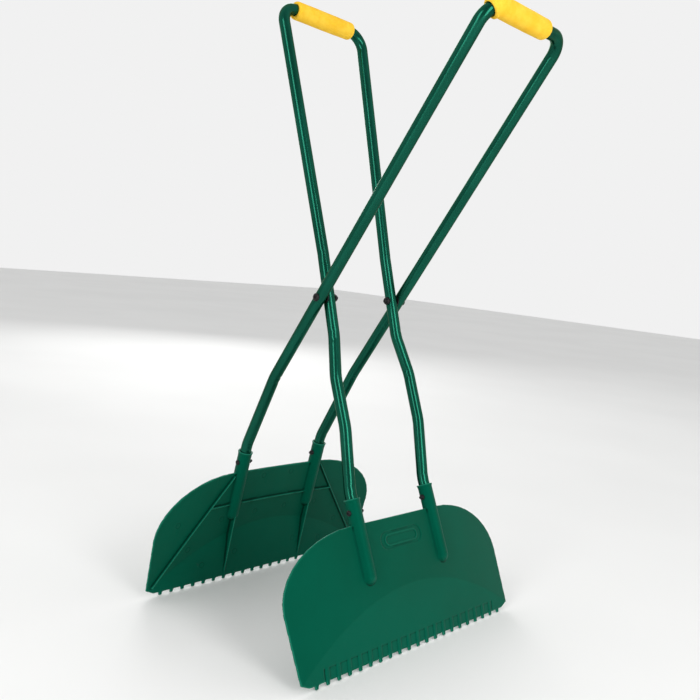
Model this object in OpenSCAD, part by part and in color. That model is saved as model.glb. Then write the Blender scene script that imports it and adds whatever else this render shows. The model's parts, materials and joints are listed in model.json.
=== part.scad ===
// Long-handled leaf grabber: two bent tube frames that cross like scissors on
// two coaxial pivot bolts, each carrying one toothed scoop and one foam grip.
//
// Frame: Z up, origin on the ground under the middle of the part.
// Y runs along the pivot axis, X is the direction in which the scoops open.
// The inner frame carries the front scoop (+X), the outer frame the rear one (-X).

/* [Handle tubes] */
// Outside diameter of the handle tube
tube_d = 16; // [12:0.5:22]
// Wall of the handle tube
tube_wall = 1.1; // [0.8:0.1:1.6]
// Height of the pivot axis above the ground
pivot_h = 444; // [400:1:520]
// Pivot axis to the centre line of the top bar
handle_len = 415; // [300:1:560]
// Half of the distance between the legs of the inner frame at the top bar
handle_half = 81; // [80:0.5:110]
// Lean of the upper legs of the inner frame from the vertical
inner_lean = 18.4; // [12:0.1:26]
// Lean of the upper legs of the outer frame from the vertical
outer_lean = 32; // [24:0.1:38]
// Centre-line radius of the two corner bends below a grip
corner_r = 24; // [16:0.5:25]

/* [Pivot] */
// Half of the distance between the inner legs at the pivot
inner_half = 64.4; // [58:0.1:75]
// Diameter of a pivot bolt
pivot_d = 6; // [5:0.5:8]
// Diameter of the pivot bolt's low round head
pivot_head_d = 11; // [9:0.5:14]
// Height of the pivot bolt's head
pivot_head_h = 2.6; // [1.5:0.1:5]
// Width across the flats of the pivot nut
pivot_flats = 10; // [8:0.5:13]
// Height of the pivot nut
pivot_nut_h = 5; // [3:0.5:8]
// Length of thread that stands out past a pivot nut
pivot_tail = 2.5; // [1:0.5:6]
// Diameter of the spacer between the crossing tubes
spacer_d = 14; // [12:0.5:18]
// Thickness of the spacer between the crossing tubes
spacer_t = 1.6; // [1.2:0.1:4]
// Depth of the flats pressed into the tubes at the pivot
flat_depth = 0.5; // [0.2:0.05:0.7]
// Radial running clearance of a bolt in its holes
run_clear = 0.05; // [0.02:0.01:0.1]

/* [Grips] */
// Outside diameter of a foam grip
grip_d = 25; // [21:0.5:34]
// Length of a foam grip along the tube
grip_len = 112; // [70:1:114]
// How far round its corner bend the outer frame's grip has been pushed
grip_wrap = 45; // [0:1:60]
// Rounding of a grip's ends
grip_round = 2.5; // [1:0.5:4]

/* [Scoops] */
// Height of a scoop from the tooth tips to the socket rims
scoop_h = 205; // [190:1:240]
// Height of a scoop's top edge above the tooth tips
plate_h = 172; // [150:1:180]
// Half of the width of a scoop at its widest
scoop_half = 217; // [200:1:262]
// Height at which a scoop is widest
wide_h = 90; // [70:1:100]
// Wall of a scoop
scoop_t = 2.6; // [2:0.1:4]
// Radius to which a scoop is curved across its width
curve_r = 1900; // [1400:10:4000]
// Height of the top of the flat lip above the tooth tips
lip_h = 83; // [60:1:100]
// Slope of the flat lip
lip_slope = 9.3; // [6:0.1:12]
// Half of the distance between a scoop's sockets
socket_half = 76; // [72:0.5:82]
// Lean of the front scoop's sockets from the vertical
front_tilt = 25.4; // [18:0.1:30]
// Lean of the rear scoop's sockets from the vertical
rear_tilt = 10.9; // [6:0.1:18]
// Distance of the front scoop's teeth from the middle
front_reach = 165; // [140:1:190]
// Distance of the rear scoop's teeth from the middle
rear_reach = 156; // [130:1:190]

/* [Sockets] */
// Wall of a socket
socket_wall = 1.9; // [1.4:0.1:3]
// Radial gap between a tube and its socket
socket_gap = 0.2; // [0.1:0.05:0.5]
// Depth that a tube goes into its socket
insert_len = 55; // [40:1:70]
// Height of the closed lower end of a socket above the tooth tips
socket_end_h = 95; // [85:1:105]

/* [Teeth and ribs] */
// Number of teeth on a scoop
teeth = 21; // [14:1:28]
// Half of the length of the row of teeth
teeth_half = 191; // [160:1:194]
// Width of a tooth
tooth_w = 5.5; // [3:0.5:8]
// Height by which the teeth stand below the plate
tooth_h = 4.5; // [3:0.5:12]
// Height of the toothed band above the tips
band_h = 20; // [16:1:30]
// Width of the ribs on the inner face
rib_w = 2; // [1.5:0.1:4]
// Height of the ribs on the inner face
rib_h = 3.5; // [1.5:0.5:6]
// Height of the rib between the two diagonal ribs above the tooth tips
cross_rib_h = 121; // [108:1:135]
// Depth of the band and of the blank plaque sunk into the outer face
sunk_depth = 0.8; // [0.4:0.1:1.2]
// Length of the blank plaque between the sockets
plaque_w = 84; // [50:1:100]
// Height of the blank plaque between the sockets
plaque_h = 24; // [14:1:30]

/* [Socket screws] */
// Diameter of a cross screw
screw_d = 4; // [3:0.5:5]
// Distance of a cross screw below the socket rim
screw_drop = 17; // [12:0.5:24]
// Diameter of a cross screw's round head
screw_head_d = 7.6; // [6.5:0.1:10]
// Height of a cross screw's head
screw_head_h = 2.6; // [1.5:0.1:4]
// Width across the flats of a cross screw's nut
screw_flats = 7; // [6:0.5:9]
// Height of a cross screw's nut
screw_nut_h = 3.2; // [2:0.1:5]
// Length of thread that stands out past a cross screw's nut
screw_tail = 3; // [1:0.5:6]

/* [Hidden] */

$fn = 64;
big = 600;          // larger than the part, for cutting solids
over = 0.3;         // overlap that joins two solids of one piece
swell = 0.2;        // a bend is this much fuller than the straight tube beside it
tube_r = tube_d / 2;
grip_bore_r = tube_r + swell + run_clear;

// Pivot stack, along Y
outer_half = inner_half + tube_d - 2 * flat_depth + spacer_t;
flat_len = spacer_d + 4;

// Bends of the legs: distances along the straight stretch through the pivot
taper_at = 62;      // above the pivot, where the inner legs start to spread
splay_at = 52;      // below the pivot, where the inner legs start to splay
knee_at = 142;      // below the pivot, where the outer legs bend
entry = 11;         // length of straight tube above a socket rim
splay_run = [48, 0, -115];   // how far the inner legs splay
spread_share = 0.45;         // share of the splay after which the legs are at socket spacing

// Scoop, in its own frame: X outward, Y across, Z up, tips at Z = 0
function lip_n(h) = (h - lip_h) * tan(lip_slope);   // lip plane's offset at height h
tip_n = lip_n(0);
axis_n = -1.5;      // offset of the socket axes from the plate's middle
bore_r = tube_r + socket_gap;
socket_r = bore_r + socket_wall;
rim_r = socket_r + 1.3;
rim_h = 4;          // height of a socket's flare
bore_spare = 2;     // the bore of a socket is this much deeper than its tube
straight_top = 90;  // half of the straight stretch of the top edge
plaque_at = 143;    // height of the plaque's middle
plaque_edge = [18, 9];   // plaque less the outside of the ring on it
ring_w = 1.5;       // width of the raised ring on the plaque
band_half = teeth_half - 15;
base_past = 8.5;    // length of the straight lower edge past the row of teeth
lower_corner = [4, 6];     // the side's lower end, in from the widest point and above the lower edge
brace_top = [12, 5];       // diagonal rib's top, past a socket's axis and below the edge
brace_foot = [14, 14];     // its foot, past the last tooth and above the tips
cross_past = 45;    // the cross rib's ends, past the socket axes
web_foot = 4;       // a web ends this much above the teeth's roots
web_step = 8;       // height of a web's straight upper part below the plate's top
web_in = [20, 24];  // height above a socket's end at which a web enters the socket
web_lap = 0.4;      // a web stops this much outside the bore
function tooth_y(i) = (i / (teeth - 1) - 0.5) * (2 * teeth_half - tooth_w);

function dir(lean) = [sin(lean), 0, cos(lean)];
function polar(s, lean) = s * dir(lean);
function unit(v) = v / norm(v);

// A point of a scoop, across 0, in the part's frame
function scoop_drop(tilt) = (tip_n - scoop_t / 2) * sin(tilt);
function scoop_x(n, h, tilt, reach) =
    reach + (n - tip_n) * cos(tilt) - h * sin(tilt);
function scoop_z(n, h, tilt) = n * sin(tilt) + h * cos(tilt) - scoop_drop(tilt);
function on_axis(h, tilt, reach, side) =
    [side * scoop_x(axis_n, h, tilt, reach), 0, scoop_z(axis_n, h, tilt)];

pivot = [0, 0, pivot_h];
function at_y(p, y) = [p.x, y, p.z];

// Half of a frame's centre line from the top corner down, with its bend radii
inner_splay = pivot - polar(splay_at, -inner_lean);
inner_turn = inner_splay + splay_run;
inner_mid = inner_splay + spread_share * splay_run;
inner_leg = [
    at_y(pivot + polar(handle_len, -inner_lean), handle_half),
    at_y(pivot + polar(taper_at, -inner_lean), inner_half),
    at_y(inner_splay, inner_half),
    at_y(inner_mid, socket_half),
    at_y(inner_turn, socket_half),
    at_y(on_axis(scoop_h + entry, front_tilt, front_reach, 1), socket_half),
    at_y(on_axis(scoop_h - insert_len, front_tilt, front_reach, 1), socket_half)];
inner_bends = [corner_r, 90, 60, 60, 80, 60];

outer_leg = [
    at_y(pivot + polar(handle_len, outer_lean), outer_half),
    at_y(pivot - polar(knee_at, outer_lean), outer_half),
    at_y(on_axis(scoop_h + entry, rear_tilt, rear_reach, -1), socket_half),
    at_y(on_axis(scoop_h - insert_len, rear_tilt, rear_reach, -1), socket_half)];
outer_bends = [corner_r, 80, 60];

function flip_y(p) = [p.x, -p.y, p.z];
function reversed(list) = [for (i = [len(list) - 1 : -1 : 0]) list[i]];
function whole(leg) = concat(reversed([for (p = leg) flip_y(p)]), leg);
function whole_bends(bends) = concat(reversed(bends), bends);

// Straight rod of radius r from a to b
module rod(a, b, r) {
    v = b - a;
    translate(a) rotate([0, acos(v.z / norm(v)), atan2(v.y, v.x)]) cylinder(r = r, h = norm(v));
}

// Bend of radius bend_r at corner p, between the directions u in and w out,
// or the first share of it
module elbow(p, u, w, bend_r, r, share = 1) {
    turn = acos(min(1, u * w));
    side = unit(w - u * (u * w));
    start = p - u * bend_r * tan(turn / 2);
    centre = start + side * bend_r;
    up = cross(-side, u);
    multmatrix([[-side.x, u.x, up.x, centre.x],
                [-side.y, u.y, up.y, centre.y],
                [-side.z, u.z, up.z, centre.z],
                [0, 0, 0, 1]])
        rotate_extrude(angle = share * turn) translate([bend_r, 0]) circle(r = r + swell);
}

// Round bar of radius r along points, bent to the radii in bends;
// both ends are lengthened by extra
module bent_bar(points, bends, r, extra = 0) {
    n = len(points);
    u = [for (i = [0 : n - 2]) unit(points[i + 1] - points[i])];
    turn = [for (i = [1 : n - 2]) acos(min(1, u[i - 1] * u[i]))];
    cut = [for (i = [0 : n - 1])
        i == 0 || i == n - 1 ? -extra : bends[i - 1] * tan(turn[i - 1] / 2) - over];
    for (i = [0 : n - 2])
        rod(points[i] + u[i] * cut[i], points[i + 1] - u[i] * cut[i + 1], r);
    for (i = [1 : n - 2])
        elbow(points[i], u[i - 1], u[i], bends[i - 1], r);
}

// Cylinder along Y from y1 to y2
module y_rod(y1, y2, r) {
    translate([0, min(y1, y2), 0]) rotate([-90, 0, 0]) cylinder(r = r, h = abs(y2 - y1));
}

// Hexagon along Y from y1 to y2
module y_hex(y1, y2, flats) {
    translate([0, min(y1, y2), 0]) rotate([-90, 0, 0])
        cylinder(d = flats / cos(30), h = abs(y2 - y1), $fn = 6);
}

// A tube frame: hollow bent tube, flats and holes at the pivot, holes at the sockets
module frame_tube(leg, bends, half, lean, tilt, reach, side) {
    difference() {
        bent_bar(whole(leg), whole_bends(bends), tube_r);
        bent_bar(whole(leg), whole_bends(bends), tube_r - tube_wall, 1);
        for (s = [-1, 1]) {
            translate(pivot + [0, s * half, 0]) {
                y_rod(-tube_d, tube_d, pivot_d / 2 + run_clear);
                for (f = [-1, 1]) rotate([0, lean, 0])
                    translate([-tube_d / 2, f > 0 ? tube_r - flat_depth : -tube_r - 2 + flat_depth,
                        -flat_len / 2]) cube([tube_d, 2, flat_len]);
            }
            translate(on_axis(scoop_h - screw_drop, tilt, reach, side) + [0, s * socket_half, 0])
                y_rod(-tube_d, tube_d, screw_d / 2 + run_clear);
        }
    }
}

module inner_handle_tube() {
    color("darkgreen") frame_tube(inner_leg, inner_bends, inner_half, -inner_lean,
        front_tilt, front_reach, 1);
}

module outer_handle_tube() {
    color("darkgreen") frame_tube(outer_leg, outer_bends, outer_half, outer_lean,
        rear_tilt, rear_reach, -1);
}

// Solid of a foam sleeve around the Y axis, from y1 to y2, rounded at y2 and,
// if both is true, at y1
module foam(y1, y2, both = true) {
    round_at = both ? [grip_round, y2 - y1 - grip_round] : [y2 - y1 - grip_round];
    translate([0, y1, 0]) rotate([-90, 0, 0]) rotate_extrude() {
        translate([0, both ? grip_round : 0])
            square([grip_d / 2, y2 - y1 - (both ? 2 : 1) * grip_round]);
        square([grip_d / 2 - grip_round, y2 - y1]);
        for (h = round_at) translate([grip_d / 2 - grip_round, h]) circle(r = grip_round);
    }
}

module inner_grip() {
    color("gold") translate(pivot + polar(handle_len, -inner_lean)) difference() {
        foam(-grip_len / 2, grip_len / 2);
        y_rod(-grip_len, grip_len, grip_bore_r);
    }
}

// The outer grip also covers part of its near corner bend
module outer_grip() {
    top = pivot + polar(handle_len, outer_lean);
    from = corner_r - outer_half;           // the top bar is straight from here
    to = from + grip_len - corner_r * grip_wrap * PI / 180;
    corner = [0, -outer_half, 0];
    color("gold") translate(top) difference() {
        union() {
            foam(from - over, to, false);
            elbow(corner, [0, -1, 0], -dir(outer_lean), corner_r, grip_d / 2, grip_wrap / 90);
        }
        y_rod(from - over, to + 1, grip_bore_r);
        elbow(corner, [0, -1, 0], -dir(outer_lean), corner_r, grip_bore_r, grip_wrap / 90 + 0.1);
    }
}

// Everything inward of the scoop's surface moved outward by off
module inward_of(off) {
    intersection() {
        translate([off - curve_r, 0, -big / 2]) cylinder(r = curve_r, h = big, $fn = 256);
        translate([0, 0, lip_h]) rotate([0, 90 + lip_slope, 0])
            translate([-big, -big, off - 2 * big]) cube([2 * big, 2 * big, 2 * big]);
    }
}

// Layer of the scoop between two offsets of its surface
module layer(from, to) {
    difference() {
        inward_of(to);
        inward_of(from);
    }
}

// Outline of the plate in (across, up)
arc_steps = 10;
half_outline = concat(
    [[teeth_half + base_past, tooth_h], [scoop_half - lower_corner.x, tooth_h + lower_corner.y]],
    [for (i = [0 : arc_steps]) let (a = 90 * i / arc_steps)
        [straight_top + (scoop_half - straight_top) * cos(a),
         wide_h + (plate_h - wide_h) * sin(a)]]);
outline = concat(half_outline, reversed([for (p = half_outline) [-p.x, p.y]]));

// Prism along X over a shape given in (across, up)
module through() {
    translate([-big / 2, 0, 0]) rotate([90, 0, 90]) linear_extrude(big) children();
}

// Straight strip of width w from a to b, in (across, up)
module strip(a, b, w) {
    v = b - a;
    translate(a) rotate(atan2(v.y, v.x)) translate([0, -w / 2]) square([norm(v), w]);
}

// Flat shape of length w and height h with round ends, about the origin
module stadium(w, h) {
    square([w - h, h], center = true);
    for (s = [-1, 1]) translate([s * (w - h) / 2, 0]) circle(d = h);
}

module tooth_row() {
    for (i = [0 : teeth - 1])
        translate([0, tooth_y(i) + tooth_w / 2, 0]) rotate([90, 0, 0]) linear_extrude(tooth_w)
            polygon([[tip_n - scoop_t / 2, 0], [tip_n + scoop_t / 2, 0],
                [lip_n(band_h) + scoop_t / 2, band_h],
                [lip_n(band_h) - scoop_t / 2 + over, band_h],
                [tip_n - scoop_t / 2 + over, tooth_h]]);
}

module socket_body() {
    body_h = scoop_h - socket_end_h;
    translate([axis_n, 0, 0]) {
        translate([0, 0, socket_end_h + socket_r]) {
            cylinder(r = socket_r, h = body_h - socket_r - rim_h);
            sphere(r = socket_r);
        }
        translate([0, 0, scoop_h - rim_h]) cylinder(r1 = socket_r, r2 = rim_r, h = rim_h);
    }
}

// Web on the inner face below a socket, tapering to nothing at the teeth
module socket_web() {
    foot = tooth_h + web_foot;
    back = axis_n - bore_r - socket_wall / 2;
    wall = axis_n - bore_r - web_lap;
    translate([0, rib_w / 2, 0]) rotate([90, 0, 0]) linear_extrude(rib_w)
        polygon([[back, plate_h], [back, plate_h - web_step],
            [lip_n(foot) - scoop_t / 2 - over, foot], [lip_n(foot) + over, foot],
            [-over, lip_h], [-over, socket_end_h + web_in[0]],
            [wall, socket_end_h + web_in[1]], [wall, plate_h]]);
}

module scoop() {
    difference() {
        union() {
            intersection() {
                layer(-scoop_t / 2, scoop_t / 2);
                through() polygon(outline);
            }
            intersection() {
                layer(-scoop_t / 2 - rib_h, -scoop_t / 2 + over);
                through() {
                    for (s = [-1, 1])
                        strip([s * (socket_half + brace_top[0]), plate_h - brace_top[1]],
                            [s * (teeth_half + brace_foot[0]), brace_foot[1]], rib_w);
                    strip([-socket_half - cross_past, cross_rib_h],
                        [socket_half + cross_past, cross_rib_h], rib_w);
                }
            }
            tooth_row();
            for (s = [-1, 1]) translate([0, s * socket_half, 0]) {
                socket_body();
                socket_web();
            }
        }
        intersection() {
            layer(scoop_t / 2 - sunk_depth, scoop_t + 2);
            through() {
                difference() {
                    translate([-band_half, 0]) square([2 * band_half, band_h]);
                    for (i = [0 : teeth - 1])
                        translate([tooth_y(i) - tooth_w / 2, -1]) square([tooth_w, band_h + 2]);
                }
                translate([0, plaque_at]) difference() {
                    stadium(plaque_w, plaque_h);
                    stadium(plaque_w - plaque_edge[0], plaque_h - plaque_edge[1]);
                }
                translate([0, plaque_at])
                    stadium(plaque_w - plaque_edge[0] - 2 * ring_w, plaque_h - plaque_edge[1] - 2 * ring_w);
            }
        }
        for (s = [-1, 1]) translate([axis_n, s * socket_half, 0]) {
            translate([0, 0, scoop_h - insert_len - bore_spare])
                cylinder(r = bore_r, h = insert_len + bore_spare + 1);
            translate([0, 0, scoop_h - screw_drop])
                y_rod(-socket_r - 2, socket_r + 2, screw_d / 2 + run_clear);
        }
    }
}

// Puts a scoop, or a piece on it, in its place; side is +1 in front, -1 at the rear
module on_scoop(tilt, reach, side) {
    rotate([0, 0, side > 0 ? 0 : 180])
        translate([reach - tip_n * cos(tilt), 0, -scoop_drop(tilt)])
            rotate([0, -tilt, 0]) children();
}

module front_scoop() {
    color("seagreen") on_scoop(front_tilt, front_reach, 1) scoop();
}

module rear_scoop() {
    color("seagreen") on_scoop(rear_tilt, rear_reach, -1) scoop();
}

// Pivot bolt through both tubes on one side, s = -1 near, +1 far
module pivot_bolt(s) {
    head_at = outer_half + tube_r - flat_depth;
    nut_end = inner_half - tube_r + flat_depth - pivot_nut_h;
    color("black") translate(pivot) {
        y_rod(s * head_at, s * (head_at + pivot_head_h), pivot_head_d / 2);
        y_rod(s * (nut_end - pivot_tail), s * (head_at + over), pivot_d / 2);
    }
}

module pivot_spacer(s) {
    inner_face = inner_half + tube_r - flat_depth;
    color("gray") translate(pivot) difference() {
        y_rod(s * inner_face, s * (inner_face + spacer_t), spacer_d / 2);
        y_rod(s * (inner_face - 1), s * (inner_face + spacer_t + 1), pivot_d / 2 + run_clear);
    }
}

module pivot_nut(s) {
    seat = inner_half - tube_r + flat_depth;
    color("dimgray") translate(pivot) difference() {
        y_hex(s * seat, s * (seat - pivot_nut_h), pivot_flats);
        y_rod(s * (seat + 1), s * (seat - pivot_nut_h - 1), pivot_d / 2 + run_clear);
    }
}

// Cross screw of a socket, its head on the side away from the middle
module socket_screw(tilt, reach, side, s) {
    color("black") translate(on_axis(scoop_h - screw_drop, tilt, reach, side)
        + [0, s * socket_half, 0]) {
        y_rod(s * socket_r, s * (socket_r + screw_head_h), screw_head_d / 2);
        y_rod(-s * (socket_r + screw_nut_h + screw_tail), s * (socket_r + over), screw_d / 2);
    }
}

module socket_nut(tilt, reach, side, s) {
    color("dimgray") translate(on_axis(scoop_h - screw_drop, tilt, reach, side)
        + [0, s * socket_half, 0]) difference() {
        y_hex(-s * socket_r, -s * (socket_r + screw_nut_h), screw_flats);
        y_rod(-s * (socket_r - 1), -s * (socket_r + screw_nut_h + 1), screw_d / 2 + run_clear);
    }
}

inner_handle_tube();
outer_handle_tube();
inner_grip();
outer_grip();
front_scoop();
rear_scoop();
pivot_bolt(-1);  // near_pivot_bolt
pivot_bolt(1);  // far_pivot_bolt
pivot_spacer(-1);  // near_pivot_spacer
pivot_spacer(1);  // far_pivot_spacer
pivot_nut(-1);  // near_pivot_nut
pivot_nut(1);  // far_pivot_nut
socket_screw(front_tilt, front_reach, 1, -1);  // front_near_socket_screw
socket_screw(front_tilt, front_reach, 1, 1);  // front_far_socket_screw
socket_screw(rear_tilt, rear_reach, -1, -1);  // rear_near_socket_screw
socket_screw(rear_tilt, rear_reach, -1, 1);  // rear_far_socket_screw
socket_nut(front_tilt, front_reach, 1, -1);  // front_near_socket_nut
socket_nut(front_tilt, front_reach, 1, 1);  // front_far_socket_nut
socket_nut(rear_tilt, rear_reach, -1, -1);  // rear_near_socket_nut
socket_nut(rear_tilt, rear_reach, -1, 1);  // rear_far_socket_nut
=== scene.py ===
"""Looks of a long-handled leaf grabber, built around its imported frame.

Two bent steel tube frames cross on a scissor hinge. Each carries a foam grip on
its top bar and a toothed, moulded scoop on two sockets. All lengths are metres.
"""

import json
import logging
import math
from dataclasses import dataclass, field
from enum import Enum
from typing import Callable, Sequence, Union

import bmesh
import bpy
import numpy as np
from mathutils import Matrix, Vector, kdtree, noise


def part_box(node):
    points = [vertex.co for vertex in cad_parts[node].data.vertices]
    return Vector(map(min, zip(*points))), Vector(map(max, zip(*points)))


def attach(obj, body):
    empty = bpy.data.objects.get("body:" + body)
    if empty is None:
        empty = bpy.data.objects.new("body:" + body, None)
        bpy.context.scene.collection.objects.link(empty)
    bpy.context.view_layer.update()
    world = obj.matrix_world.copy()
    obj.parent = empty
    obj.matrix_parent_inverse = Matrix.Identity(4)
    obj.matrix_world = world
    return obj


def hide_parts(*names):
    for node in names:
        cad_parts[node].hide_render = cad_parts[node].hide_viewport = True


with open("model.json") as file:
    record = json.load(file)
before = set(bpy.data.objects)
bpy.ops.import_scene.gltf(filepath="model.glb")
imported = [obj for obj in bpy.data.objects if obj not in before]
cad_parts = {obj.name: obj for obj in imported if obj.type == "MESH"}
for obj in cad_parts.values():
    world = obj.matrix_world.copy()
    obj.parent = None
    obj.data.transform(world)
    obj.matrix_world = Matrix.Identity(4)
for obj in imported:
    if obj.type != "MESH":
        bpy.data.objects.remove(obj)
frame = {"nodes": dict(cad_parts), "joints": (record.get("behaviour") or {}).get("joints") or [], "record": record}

LOG = logging.getLogger("leaf_grabber")
MM = 0.001
Colour = tuple[float, float, float, float]
Outline = Callable[[np.ndarray], np.ndarray]
Level = tuple[float, Outline]
RadiusRule = Callable[[np.ndarray, np.ndarray], np.ndarray]
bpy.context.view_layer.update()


class FrameKind(Enum):
    """The two tube frames, named as their CAD nodes are."""

    INNER = "inner"
    OUTER = "outer"


class Station(Enum):
    """The two scoops, with the direction in which each faces along X."""

    FRONT = 1
    REAR = -1

    @property
    def word(self) -> str:
        """The station's name as the CAD nodes use it."""
        return self.name.lower()


class Side(Enum):
    """The two sides of the tool, with their sign along Y."""

    NEAR = -1
    FAR = 1

    @property
    def word(self) -> str:
        """The side's name as the CAD nodes use it."""
        return self.name.lower()


BODY = {FrameKind.INNER: "inner_frame", FrameKind.OUTER: "outer_frame"}
FRAME_OF = {Station.FRONT: FrameKind.INNER, Station.REAR: FrameKind.OUTER}


# ---------------------------------------------------------------- shader graph


# Sockets of a Mix node that blends colours, by number because their names repeat.
MIX_SHARE, MIX_FIRST, MIX_SECOND, MIX_RESULT = 0, 6, 7, 2


class Wire:
    """A value in a shader graph, with arithmetic that adds Math nodes."""

    def __init__(self, graph: "Graph", socket: bpy.types.NodeSocket) -> None:
        """Wraps an output socket.

        Args:
            graph: The graph that the socket belongs to.
            socket: The output socket.
        """
        self.graph = graph
        self.socket = socket

    def math(self, operation: str, *others: Union[float, "Wire"], flip: bool = False) -> "Wire":
        """Adds one Math node.

        Args:
            operation: The Math node's operation.
            others: Its other operands.
            flip: Whether this value comes second.

        Returns:
            The node's result.
        """
        operands = [self, *others]
        if flip:
            operands.reverse()
        return self.graph.add("ShaderNodeMath", {"operation": operation}, dict(enumerate(operands)))

    def __add__(self, other: Union[float, "Wire"]) -> "Wire":
        """Sum of two values."""
        return self.math("ADD", other)

    __radd__ = __add__

    def __sub__(self, other: Union[float, "Wire"]) -> "Wire":
        """Difference of two values."""
        return self.math("SUBTRACT", other)

    def __rsub__(self, other: float) -> "Wire":
        """Difference with this value second."""
        return self.math("SUBTRACT", other, flip=True)

    def __mul__(self, other: Union[float, "Wire"]) -> "Wire":
        """Product of two values."""
        return self.math("MULTIPLY", other)

    __rmul__ = __mul__

    def band(self, low: float, high: float) -> "Wire":
        """Maps low to 0 and high to 1, smoothly and clamped.

        Args:
            low: Value that becomes 0.
            high: Value that becomes 1.

        Returns:
            The mask.
        """
        settings = {"interpolation_type": "SMOOTHSTEP"}
        inputs = {"Value": self, "From Min": low, "From Max": high}
        return self.graph.add("ShaderNodeMapRange", settings, inputs)


class Graph:
    """The node tree of a material or a world, filled by expressions."""

    def __init__(self, owner: Union[bpy.types.Material, bpy.types.World]) -> None:
        """Empties the owner's tree.

        Args:
            owner: The material or world that the tree belongs to.
        """
        owner.use_nodes = True
        self.owner = owner
        self.tree = owner.node_tree
        self.tree.nodes.clear()

    @classmethod
    def of_material(cls, name: str) -> "Graph":
        """An empty graph in a new material of that name."""
        return cls(bpy.data.materials.new(name))

    def add(
        self,
        kind: str,
        settings: dict[str, object] | None = None,
        inputs: dict[Union[str, int], object] | None = None,
        out: Union[str, int] = 0,
    ) -> Wire:
        """Adds a node.

        Args:
            kind: The node's type.
            settings: Its properties, which are set first.
            inputs: Values or wires of its sockets, by name or number.
            out: The output socket that is returned.

        Returns:
            The chosen output.
        """
        node = self.tree.nodes.new(kind)
        for key, value in (settings or {}).items():
            setattr(node, key, value)
        for key, value in (inputs or {}).items():
            if isinstance(value, Wire):
                self.tree.links.new(value.socket, node.inputs[key])
            else:
                node.inputs[key].default_value = value
        return Wire(self, node.outputs[out] if node.outputs else None)

    def place(self) -> Wire:
        """The point on the object, in metres."""
        return self.add("ShaderNodeTexCoord", out="Object")

    def noise(
        self, scale: float, detail: float = 3.0, roughness: float = 0.5, at: Wire | None = None
    ) -> Wire:
        """Soft noise from 0 to 1.

        Args:
            scale: Features per metre.
            detail: Octaves.
            roughness: Share of the fine octaves.
            at: Where it is read; the object's own point by default.

        Returns:
            The noise value.
        """
        inputs = {
            "Vector": at or self.place(), "Scale": scale, "Detail": detail, "Roughness": roughness,
        }
        return self.add("ShaderNodeTexNoise", None, inputs)

    def cells(self, scale: float, smoothness: float) -> Wire:
        """Distance from the middles of rounded cells.

        Args:
            scale: Cells per metre.
            smoothness: How far the cells run into each other.

        Returns:
            The distance.
        """
        inputs = {"Vector": self.place(), "Scale": scale, "Smoothness": smoothness}
        return self.add("ShaderNodeTexVoronoi", {"feature": "SMOOTH_F1"}, inputs)

    def stretched(self, across: float, along: float, in_bends: bool = False) -> Wire:
        """The point on the object, scaled more across a part than along it.

        Args:
            across: Scale across the part.
            along: Scale along it, in Z.
            in_bends: Whether the part also runs in X, as the bent tubes do.

        Returns:
            The scaled point.
        """
        settings = {"operation": "MULTIPLY"}
        scale = (along if in_bends else across, across, along)
        return self.add("ShaderNodeVectorMath", settings, {0: self.place(), 1: scale})

    def stored(self, name: str) -> Wire:
        """A number that the mesh holds for each of its points."""
        return self.add("ShaderNodeAttribute", {"attribute_name": name}, out="Fac")

    def split(self, vector: Wire, axis: str) -> Wire:
        """One coordinate of a vector.

        Args:
            vector: The vector.
            axis: X, Y or Z.

        Returns:
            The coordinate.
        """
        return self.add("ShaderNodeSeparateXYZ", None, {0: vector}, axis)

    def mix(
        self, share: Union[float, Wire], first: Union[Colour, Wire], second: Union[Colour, Wire]
    ) -> Wire:
        """Blend of two colours.

        Args:
            share: Share of the second colour.
            first: The first colour.
            second: The second colour.

        Returns:
            The blended colour.
        """
        inputs = {MIX_SHARE: share, MIX_FIRST: first, MIX_SECOND: second}
        return self.add("ShaderNodeMix", {"data_type": "RGBA"}, inputs, MIX_RESULT)

    def bump(
        self, height: Wire, distance: float, strength: float = 1.0, under: Wire | None = None
    ) -> Wire:
        """A normal that follows a height.

        Args:
            height: The height, from 0 to 1.
            distance: What a height of 1 stands for, in metres.
            strength: Share of the effect.
            under: A normal that this one is laid over.

        Returns:
            The normal.
        """
        inputs = {"Height": height, "Distance": distance, "Strength": strength}
        if under:
            inputs["Normal"] = under
        return self.add("ShaderNodeBump", None, inputs)

    def surface(self, inputs: dict[str, object]) -> bpy.types.Material:
        """Ends the graph in a Principled shader.

        Args:
            inputs: Values or wires of the shader's sockets.

        Returns:
            The finished material.
        """
        shader = self.add("ShaderNodeBsdfPrincipled", None, inputs)
        self.add("ShaderNodeOutputMaterial", None, {"Surface": shader})
        return self.owner


# -------------------------------------------------------------------- finishes


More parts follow.
